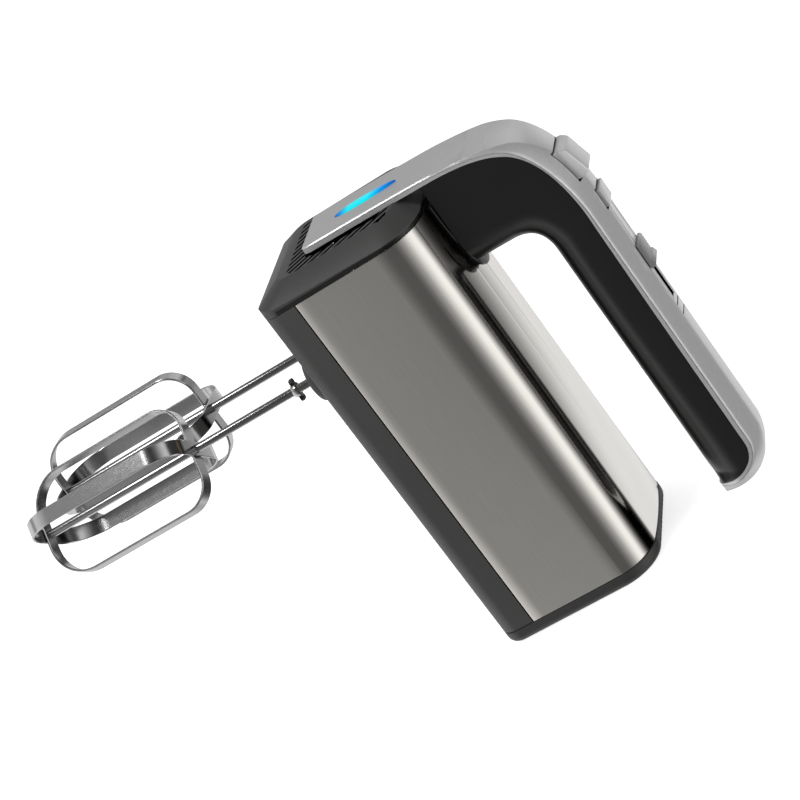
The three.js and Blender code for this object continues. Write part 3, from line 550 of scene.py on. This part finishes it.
def rear_cover():
    """Tail cap with a well-rounded edge and a row of vents along its upper side."""
    rounding, steps = 4.2, 8
    start, rim = WRAP_REAR + GAP, TAIL - rounding
    rings = [section(**RIM, y=start)]
    for i in range(steps + 1):
        turn = math.pi / 2 * i / steps
        inset = rounding * (1 - math.cos(turn))
        rings.append(section(**RIM, y=rim + rounding * math.sin(turn), inset=inset))
    cover = loft("tail_cover", rings)
    soften(cover, 0.3, 2, 60)
    hollow = [section(**RIM, y=start - 0.5, inset=WALL), section(**RIM, y=rim, inset=WALL)]
    hollow.append(section(**RIM, y=TAIL - WALL, inset=rounding + 0.5))
    combine(cover, loft("cut", hollow))
    vents = []
    half_vent, pitch = 1.1, 4
    for x in range(-20, 21, pitch):
        vents.append(block("vent", (x - half_vent, x + half_vent), (rim + 0.3, rim + 2.9), (71, 90)))
    combine(cover, join("vents", vents))
    # the tail cap takes the darker copy of the moulding, as painted shade
    return finish_piece(cover, "housing", SHADED_TAIL_PLASTIC.material, ["rear_cover"], 25)


# ---- handle --------------------------------------------------------------------------------
ARCH = 24  # steps along each stretch
GRIP_UNDER = 112.0  # underside of the grip at its middle
GRIP_ROUND = 15.0  # height of the grip's rounded underside
LEG_BOTTOM = SADDLE_TOP + GAP


def trim_line(strip, leg, shoulder, back, tail):
    """One lengthwise line of the handle, as (y, z): strip, leg, arch, straight and tail end."""
    return bezier(strip + leg + shoulder + back + tail, ARCH)


def outer_edge():
    """Side edge of the silver trim, from the strip's lower end to the tail end."""
    return trim_line(
        [(-13.0, PLATE_BOTTOM), (-12.8, 45), (-12.4, 65), (-11.8, LEG_BOTTOM)],
        [(-11, 100), (-8.2, 115), (-3.5, 121.8)],
        [(1.5, 129.2), (16, 136), (38, 137.6)],
        [(70, 137.8), (130, 137.8), (166, 137.8)],
        [(177, 137.8), (185, 128), (184.6, GRIP_UNDER + 1)],
    )


def top_line():
    """Middle of the trim's top, step for step with outer_edge."""
    return trim_line(
        [(-13.0, PLATE_BOTTOM), (-12.8, 45), (-12.4, 65), (-11.8, LEG_BOTTOM)],
        [(-11, 100), (-8.8, 116.5), (-4.3, 124.2)],
        [(2, 134), (16, CROWN_TOP - 0.4), (38, CROWN_TOP)],
        [(70, CROWN_TOP), (130, CROWN_TOP), (168, CROWN_TOP)],
        [(181, CROWN_TOP - 1.5), (HANDLE_END + 1.4, 131), (HANDLE_END - 1.6, GRIP_UNDER - 0.2)],
    )


def joint_line():
    """Joint between silver and black at the handle's side, step for step with outer_edge."""
    return trim_line(
        [(-9.9, PLATE_BOTTOM), (-9.7, 45), (-9.4, 65), (-9.0, LEG_BOTTOM)],
        [(-8.8, 98), (-7.2, 111), (-2.1, 119.4)],
        [(2.5, 128.1), (15, 134.6), (38, 135.5)],
        [(70, 135.1), (130, 134.9), (166, 134.9)],
        [(177, 135.2), (182, 126), (181.6, GRIP_UNDER + 1)],
    )


def half_width(z, at_tail):
    """Half width of the handle, drawn in where its tail end meets the rounded underside."""
    sunk = max(GRIP_UNDER + GRIP_ROUND - z, 0) / (GRIP_ROUND + 2) if at_tail else 0
    return HANDLE_HALF * math.sqrt(1 - sunk * sunk)


def trim_side(edge, ridge, seam, half, grown):
    """Near half of the trim's section, as (x, (y, z)): shadow groove, cut edge, crown, flat ribbon."""
    chamfer, groove = 0.55, 0.3
    narrow, wide = 5.0, half - 0.8  # half widths of the ribbon on the crown and on the strip
    ribbon = wide + (narrow - wide) * grown
    shoulder, crown_steps = half - chamfer, 12
    down = (seam - edge).normalized()
    side = [(half, seam)]
    side += [(half, edge + down * 1.25), (half - groove, edge + down * 1.1)]
    side += [(half - groove, edge + down * 0.9), (half, edge + down * 0.8)]
    side += [(half, edge + down * chamfer), (shoulder, edge)]
    for k in range(1, crown_steps):
        share = k / crown_steps
        x = shoulder + (ribbon - shoulder) * share
        side.append((x, edge.lerp(ridge, 1 - (1 - share) ** 1.4)))
    side.append((ribbon, ridge))
    return side


def cut_controls(trim):
    """Opens the trim for the controls: two button wells, the slider's slot, two channels, two marks.
    Their cut walls are painted black as painted shade.
    """
    clear, channel, mark = 0.8, 0.6, 0.7  # gap round a button, widths of a channel and a mark
    below, above = 120, 160  # heights clear of the trim's top on either side
    for node in ("eject_button", "turbo_button"):
        low, high = working_box(node)
        x, y = (low.x - clear, high.x + clear), (low.y - clear, high.y + clear)
        combine(trim, shade_walled_block(x, y, (below, above)))
    slot, slot_half, slot_length = working_box("speed_slider")[0].y + 9.5, 2.3, 21
    combine(trim, shade_walled_block((-slot_half, slot_half), (slot, slot + slot_length), (below, above)))
    start = working_box("turbo_button")[1].y
    for x in (-3.4, 3.4):
        sides = (x - channel / 2, x + channel / 2)
        combine(trim, shade_walled_block(sides, (start, slot + slot_length + 1), (CROWN_TOP - 0.6, above)))
    for y in (slot + 24, slot + 29):
        combine(trim, shade_walled_block((-5, 5), (y, y + mark), (CROWN_TOP - 0.5, above)))


def handle_top():
    """Silver trim: a flat strip on the nose that grows a crowned top over the grip."""
    corner = 1.2  # taken off the strip's lower corners
    rings = []
    for i, points in enumerate(zip(outer_edge(), top_line(), joint_line())):
        edge, ridge, seam = (Vector(point) for point in points)
        grown = min(max((i / ARCH - 1.6) / 1.2, 0), 1)  # 0 on the strip, 1 over the grip
        half = half_width(edge.y, i > 4 * ARCH) - (corner if i == 0 else 0)
        side = trim_side(edge, ridge, seam, half, grown)
        ring = [(x, point.x, point.y) for x, point in side]
        ring += [(-x, point.x, point.y) for x, point in reversed(side)]
        rings.append(ring)
    trim = loft("handle_trim", rings)
    for finish in (SILVER, PAINTED_SHADE):
        trim.data.materials.append(finish.material)
    cut_controls(trim)
    return finish_piece(trim, "housing", SILVER.material, ["handle_top"], 24)


def grip_edge():
    """Rear of the leg, fillet and underside of the grip at its middle, as (y, z)."""
    under = GRIP_UNDER
    return bezier([
        (36.5, LEG_BOTTOM), (36.5, 90), (36.5, 94), (36.5, under - 13),
        (36.6, under - 4), (41, under), (50, under),
        (90, under), (140, under), (168, under - 0.3),
        (174, under - 0.3), (179, under), (183.4, under + 0.8),
    ], ARCH)


def handle_grip():
    """Black grip: flat sides below the joint line, elliptical where the fingers go."""
    steps = 16
    rings = []
    for i, points in enumerate(zip(joint_line()[ARCH:], grip_edge())):
        seam, bottom = (Vector(point) for point in points)
        half = half_width(seam.y, i > 3 * ARCH)
        span = bottom - seam
        down = span.normalized()
        depth = min(GRIP_ROUND, span.length * 0.85)
        side = [(half, seam + down * GAP)]
        for k in range(steps + 1):
            turn = math.pi / 2 * k / steps
            level = bottom - down * depth * (1 - math.sin(turn))
            side.append((half * math.cos(turn), level))
        ring = [(x, point.x, point.y) for x, point in side]
        ring += [(-x, point.x, point.y) for x, point in reversed(side[:-1])]
        rings.append(ring)
    grip = loft("handle_grip_cover", rings)
    return finish_piece(grip, "housing", BLACK.material, ["handle_grip"], 30)


def saddle_outline(reach, tip):
    """Plan of the plinth, both halves: wide at the nose, narrowing to a round tip."""
    half = bezier([
        (reach, WRAP_FRONT), (reach + 0.3, 14), (reach - 2, tip - 12), (reach * 0.5, tip - 4),
        (reach * 0.3, tip - 1), (reach * 0.15, tip), (0, tip),
    ], 12)
    return half + [(-x, y) for x, y in reversed(half[:-1])]


def saddle():
    """Low plinth that the leg stands on, flared out towards its rounded upper edge."""
    levels = [  # half width, y of the tip, height, rise towards the tip
        (16.8, 38.5, SADDLE_BOTTOM, 0), (17.3, 39.4, SADDLE_BOTTOM + 0.6, 0),
        (19.4, 40.4, SADDLE_TOP - 1.6, 0.6), (20.4, 40.8, SADDLE_TOP - 0.8, 1.0),
        (20.1, 40.4, SADDLE_TOP - 0.3, 1.2), (18.7, 38.6, SADDLE_TOP, 1.2),
    ]
    rings = []
    for reach, tip, z, rise in levels:
        rings.append([(x, y, z + rise * (y / tip) ** 2) for x, y in saddle_outline(reach, tip)])
    plinth = loft("leg_saddle", rings)
    opening = block("cut", (-7.5, 7.5), (7.5, 28.5), (SADDLE_BOTTOM - 2, SADDLE_TOP + 2))
    combine(plinth, opening)
    return finish_piece(plinth, "housing", BLACK.material, ["handle_saddle"], 30)


# ---- lamp and controls ---------------------------------------------------------------------
def light_bar():
    """Lens set in the strip, broadest near its lower end."""
    low, high = working_box("light_bar")
    half, broad = high.x * 0.86, low.z + 11  # greatest half width, and its height
    outline = bezier([
        (0, low.z), (half * 0.7, low.z), (half, low.z + 4), (half, broad),
        (half, broad + 10), (half * 0.35, high.z), (0, high.z),
        (-half * 0.35, high.z), (-half, broad + 10), (-half, broad),
        (-half, low.z + 4), (-half * 0.7, low.z), (0, low.z),
    ], 12)[:-1]
    middle = (low.z + high.z) / 2
    rings = []
    for shrink, y in ((1, high.y), (1, low.y - 0.05), (0.93, low.y - 0.3), (0.6, low.y - 0.42)):
        rings.append([(x * shrink, y, middle + (z - middle) * shrink) for x, z in outline])
    lens = loft("lamp_lens", rings)
    return finish_piece(lens, "housing", GLOW.material, ["light_bar"], 40)


def eject_button():
    """Raised key that follows the arch's slope, with a smaller top than base."""
    low, high = working_box("eject_button")
    y0, y1, top = low.y, high.y, high.z
    base, shelf = high.x, 8.6  # half widths of the key's foot and top
    levels = [  # half width, y of the front and rear, height at the front and rear
        (base, y0, y1, 131, 134), (base, y0, y1, 138.2, 141),
        (shelf + 0.5, y0 + 1.1, y1 - 0.5, 140.8, top - 0.8), (shelf, y0 + 1.8, y1 - 1.2, 141.6, top),
    ]
    rings = []
    for half, front, rear, z_front, z_rear in levels:
        rings.append([
            (half, front, z_front), (half, rear, z_rear), (-half, rear, z_rear), (-half, front, z_front),
        ])
    button = loft("eject_key", rings)
    soften(button, 0.9, 4, 20)
    return finish_piece(button, "eject", SILVER.material, ["eject_button"], 30)


def turbo_button():
    """Small square-edged key on a stem that reaches its switch."""
    low, high = working_box("turbo_button")
    button = block("turbo_key", (low.x, high.x), (low.y, high.y), (high.z - 4.4, high.z))
    soften(button, 0.5, 3, 30)
    middle = (low.y + high.y) / 2
    stem = block("stem", (-1.5, 1.5), (middle - 1.5, middle + 1.5), (low.z, high.z - 3))
    combine(button, stem, "UNION")
    return finish_piece(button, "turbo", SILVER.material, ["turbo_button"], 30)


def speed_slider():
    """Slider with a raised rear ridge and fine ribs across its top."""
    low, high = working_box("speed_slider")
    skid = CROWN_TOP + GAP
    profile = [
        (low.y, skid), (high.y, skid), (high.y, high.z - 0.9), (high.y - 1.4, high.z),
        (high.y - 3.6, high.z - 0.8),
    ]
    ribs = 6
    start, end = high.y - 4.2, low.y + 0.8
    step = (end - start) / ribs
    root, crest = high.z - 1.9, high.z - 1.3
    for i in range(ribs):
        y = start + step * i
        profile += [(y, root), (y + step * 0.35, crest), (y + step * 0.65, crest)]
    profile += [(low.y + 0.5, root), (low.y, high.z - 2.3)]
    slider = prism("speed_key", profile, "x", low.x, high.x)
    soften(slider, 0.2, 2, 40)
    tongue = block("tongue", (-1.8, 1.8), (high.y - 2.8, high.y), (low.z, skid + 1))
    combine(slider, tongue, "UNION")
    return finish_piece(slider, "slider", SLIDER_SILVER.material, ["speed_slider"], 30)


# ---- beaters -------------------------------------------------------------------------------
CAGE_RADIUS = 27.2  # half width of the outer strip's loop, as in the CAD
STRIP_THICKNESS = 1.1
NEST = STRIP_THICKNESS + GAP  # how far the inner strip lies inside the outer one
BEATER_PHASE = {"left": 54, "right": 88}  # direction of each inner strip, degrees, as in the CAD
WASHER_RADIUS = 3.4


def strip_path(radius, top, bottom, upper, lower):
    """Closed loop of a strip in its own plane, as (radius, height, outward r, outward z)."""
    steps = 16
    corners = [  # centre, corner radius, angle where the corner starts
        (radius - lower, bottom + lower, lower, -90), (radius - upper, top - upper, upper, 0),
        (-radius + upper, top - upper, upper, 90), (-radius + lower, bottom + lower, lower, 180),
    ]
    points = []
    for cx, cz, r, start in corners:
        for i in range(steps + 1):
            a = math.radians(start + 90 * i / steps)
            points.append((cx + r * math.cos(a), cz + r * math.sin(a), math.cos(a), math.sin(a)))
    return points


def strip_loop(name, centre, angle, inset):
    """Flat strip bent into a round-cornered loop, with slightly rounded edges."""
    cage = working_box("beater_left_outer_strip")
    width, soft = 7.5, 0.3
    upper, lower = 15, 20  # corner radii of the outer loop
    top, bottom = cage[1].z - inset, cage[0].z + inset
    path = strip_path(CAGE_RADIUS - inset, top, bottom, upper - inset, lower - inset)
    out = Vector((math.cos(angle), math.sin(angle), 0))
    across = Vector((-math.sin(angle), math.cos(angle), 0))
    half, flat = width / 2, width / 2 - soft
    depth = -STRIP_THICKNESS
    rim = [
        (-half, -soft), (-flat, 0), (flat, 0), (half, -soft),
        (half, depth + soft), (flat, depth), (-flat, depth), (-half, depth + soft),
    ]
    rings = []
    for r, z, nr, nz in path:
        here = Vector((*centre, 0)) + out * r + Vector((0, 0, z))
        outward = out * nr + Vector((0, 0, nz))
        rings.append([tuple(here + across * w + outward * d) for w, d in rim])
    return loft(name, rings, looped=True)


def beater(side):
    """Two crossed strip loops on a shaft with a neck turned near its upper end."""
    body = f"beater_{side}"
    centre = middle_of(f"{body}_shaft")
    low, high = working_box(f"{body}_shaft")
    radius = (high.x - low.x) / 2
    for node, turn, inset in (("inner", 0, NEST), ("outer", 90, 0)):
        angle = math.radians(BEATER_PHASE[side] + turn)
        loop = strip_loop(f"{body}_{node}_loop", centre, angle, inset)
        finish_piece(loop, body, CHROME.material, [f"{body}_{node}_strip"], 40)
    shaft = turned(f"{body}_spindle", [
        (0.01, low.z), (radius - 0.4, low.z), (radius, low.z + 0.4), (radius, high.z - 6),
        (radius - 0.5, high.z - 5.4), (radius - 0.5, high.z - 4), (radius, high.z - 3.4),
        (radius, high.z - 1.2), (radius - 0.9, high.z), (0.01, high.z),
    ], centre, 40)
    finish_piece(shaft, body, CHROME.material, [f"{body}_shaft"], 40)
    collar(body, centre, radius)


def collar(body, centre, shaft_radius):
    """Bright washer round the shaft, with a dark ear on each side."""
    low, high = working_box(f"{body}_collar")
    bore = shaft_radius + 0.05
    ring = turned("ring", [
        (bore, low.z - 1), (shaft_radius + 0.7, low.z - 1), (WASHER_RADIUS, low.z),
        (WASHER_RADIUS, high.z), (bore, high.z),
    ], centre, 40)
    reach = (high.y - low.y) / 2
    wings = []
    for end in (-1, 1):
        tip = [
            (-1.5, end * 2.4), (1.5, end * 2.4), (1.9, end * (reach - 1)), (1.2, end * reach),
            (-1.2, end * reach), (-1.9, end * (reach - 1)),
        ]
        outline = [(centre[0] + x, centre[1] + y) for x, y in tip]
        wings.append(prism("wing", outline, "z", low.z + 0.2, high.z - 0.2))
    ears = join(f"{body}_washer_ears", wings)
    core = [(0.01, -30), (WASHER_RADIUS, -30), (WASHER_RADIUS, 0), (0.01, 0)]
    combine(ears, turned("cut", core, centre, 40))
    ring.name = f"{body}_washer"
    soften(ring, 0.2, 2, 40)
    finish_piece(ring, body, CHROME.material, [f"{body}_collar"], 35)
    finish_piece(ears, body, WASHER.material, [], 35)


# ---- stage, camera and light ---------------------------------------------------------------
def camera():
    """Long lens aimed at the nose, beaters and handle."""
    data = bpy.data.cameras.new("camera")
    data.lens = 112.66
    data.sensor_width = 36
    made = bpy.data.objects.new("camera", data)
    made.location = (1.0023, 0.3624, 0.4708)
    made.rotation_euler = [math.radians(a) for a in (67.568, 34.789, 98.005)]
    bpy.context.scene.collection.objects.link(made)
    bpy.context.scene.camera = made


def area_light(name, place, target, size, power):
    """Rectangular light aimed at a point and unseen by the camera."""
    data = bpy.data.lights.new(name, "AREA")
    data.shape = "RECTANGLE"
    data.size, data.size_y = size
    data.energy = power
    made = bpy.data.objects.new(name, data)
    made.location = place
    direction = Vector(target) - Vector(place)
    made.rotation_euler = direction.to_track_quat("-Z", "Y").to_euler()
    made.visible_camera = False
    bpy.context.scene.collection.objects.link(made)
    return made


def floor():
    """Pale floor that neither shows in the metal nor lights it."""
    reach = 6.0
    corners = [(-reach, -reach, 0), (reach, -reach, 0), (reach, reach, 0), (-reach, reach, 0)]
    plane = mesh_object("floor", corners, [(0, 1, 2, 3)])
    surface = Surface("floor_white", (0.92, 0.92, 0.92), 0.9)
    surface.shader.inputs["Emission Color"].default_value = (1, 1, 1, 1)
    surface.shader.inputs["Emission Strength"].default_value = 0.75
    plane.data.materials.append(surface.material)
    plane.visible_glossy = False
    plane.visible_diffuse = False


def brightness_ramp(tree, source, low, high, stops):
    """Grey ramp over a value that runs from low to high; stops are (value, brightness)."""
    share = tree.nodes.new("ShaderNodeMapRange")
    share.inputs["From Min"].default_value = low
    share.inputs["From Max"].default_value = high
    ramp = tree.nodes.new("ShaderNodeValToRGB")
    fill_ramp(ramp, [((at - low) / (high - low), (level, level, level)) for at, level in stops])
    tree.links.new(source, share.inputs["Value"])
    tree.links.new(share.outputs["Result"], ramp.inputs["Fac"])
    return ramp.outputs["Color"]


def studio():
    """World light: bright and dark bands standing around the mixer, white to the camera."""
    world = bpy.data.worlds.new("studio")
    bpy.context.scene.world = world
    world.use_nodes = True
    tree = world.node_tree
    nodes, links = tree.nodes, tree.links
    nodes.clear()
    place = nodes.new("ShaderNodeTexCoord")
    split = nodes.new("ShaderNodeSeparateXYZ")
    turn = nodes.new("ShaderNodeMath")
    turn.operation = "ARCTAN2"
    links.new(place.outputs["Generated"], split.inputs["Vector"])
    links.new(split.outputs["Y"], turn.inputs[0])
    links.new(split.outputs["X"], turn.inputs[1])
    bands = [  # direction around the mixer in degrees from the frame's +X, brightness
        (-180, 0.50), (-160, 0.42), (-130, 0.6), (-100, 0.7), (-75, 0.85), (-60, 0.85), (-45, 0.5),
        (-30, 0.25), (-19, 0.22), (-9, 0.09), (24, 0.085), (35, 0.16), (48, 0.35), (58, 0.62),
        (68, 0.90), (80, 0.98), (90, 0.45), (99, 0.08), (108, 0.0), (138, 0.0), (144, 0.02),
        (149, 0.08), (153, 0.25), (158, 0.55), (163, 0.70), (170, 0.62),
    ]
    around = [(math.radians(angle), level) for angle, level in bands]
    layers = [  # height of the direction, -1 straight down and 1 straight up, brightness
        (-1.0, 1.0), (0.14, 1.0), (0.18, 0.3), (0.24, 0.2), (0.34, 1.0), (0.56, 0.6), (0.8, 0.25),
    ]
    shade = nodes.new("ShaderNodeMix")
    shade.data_type = "RGBA"
    shade.blend_type = "MULTIPLY"
    [socket for socket in shade.inputs if socket.type == "VALUE"][0].default_value = 1.0
    first, second = [socket for socket in shade.inputs if socket.type == "RGBA"]
    links.new(brightness_ramp(tree, turn.outputs["Value"], -math.pi, math.pi, around), first)
    links.new(brightness_ramp(tree, split.outputs["Z"], -1.0, 1.0, layers), second)
    glow = nodes.new("ShaderNodeBackground")
    glow.inputs["Strength"].default_value = 1.7
    plain = nodes.new("ShaderNodeBackground")
    plain.inputs["Color"].default_value = (1, 1, 1, 1)
    plain.inputs["Strength"].default_value = 1.2
    seen = nodes.new("ShaderNodeLightPath")
    mix = nodes.new("ShaderNodeMixShader")
    out = nodes.new("ShaderNodeOutputWorld")
    links.new([socket for socket in shade.outputs if socket.type == "RGBA"][0], glow.inputs["Color"])
    links.new(seen.outputs["Is Camera Ray"], mix.inputs["Fac"])
    links.new(glow.outputs["Background"], mix.inputs[1])
    links.new(plain.outputs["Background"], mix.inputs[2])
    links.new(mix.outputs["Shader"], out.inputs["Surface"])


# ---- build ---------------------------------------------------------------------------------
camera()
studio()
floor()
area_light("edge", (0.62, -0.47, 1.5), (0, 0, 0.15), (0.5, 0.5), 9)
area_light("front", (1.5, -0.4, 0.6), (0, 0, 0.1), (0.9, 0.9), 8).visible_glossy = False
area_light("above", (0.0, 1.6, 0.15), (0, 0, 0.05), (0.9, 0.3), 16).visible_glossy = False
bpy.context.scene.view_settings.view_transform = "Standard"

finish_cad_nodes()
steel_wrap()
base_shell()
front_cover()
rear_cover()
handle_top()
handle_grip()
saddle()
light_bar()
eject_button()
turbo_button()
speed_slider()
beater("left")
beater("right")
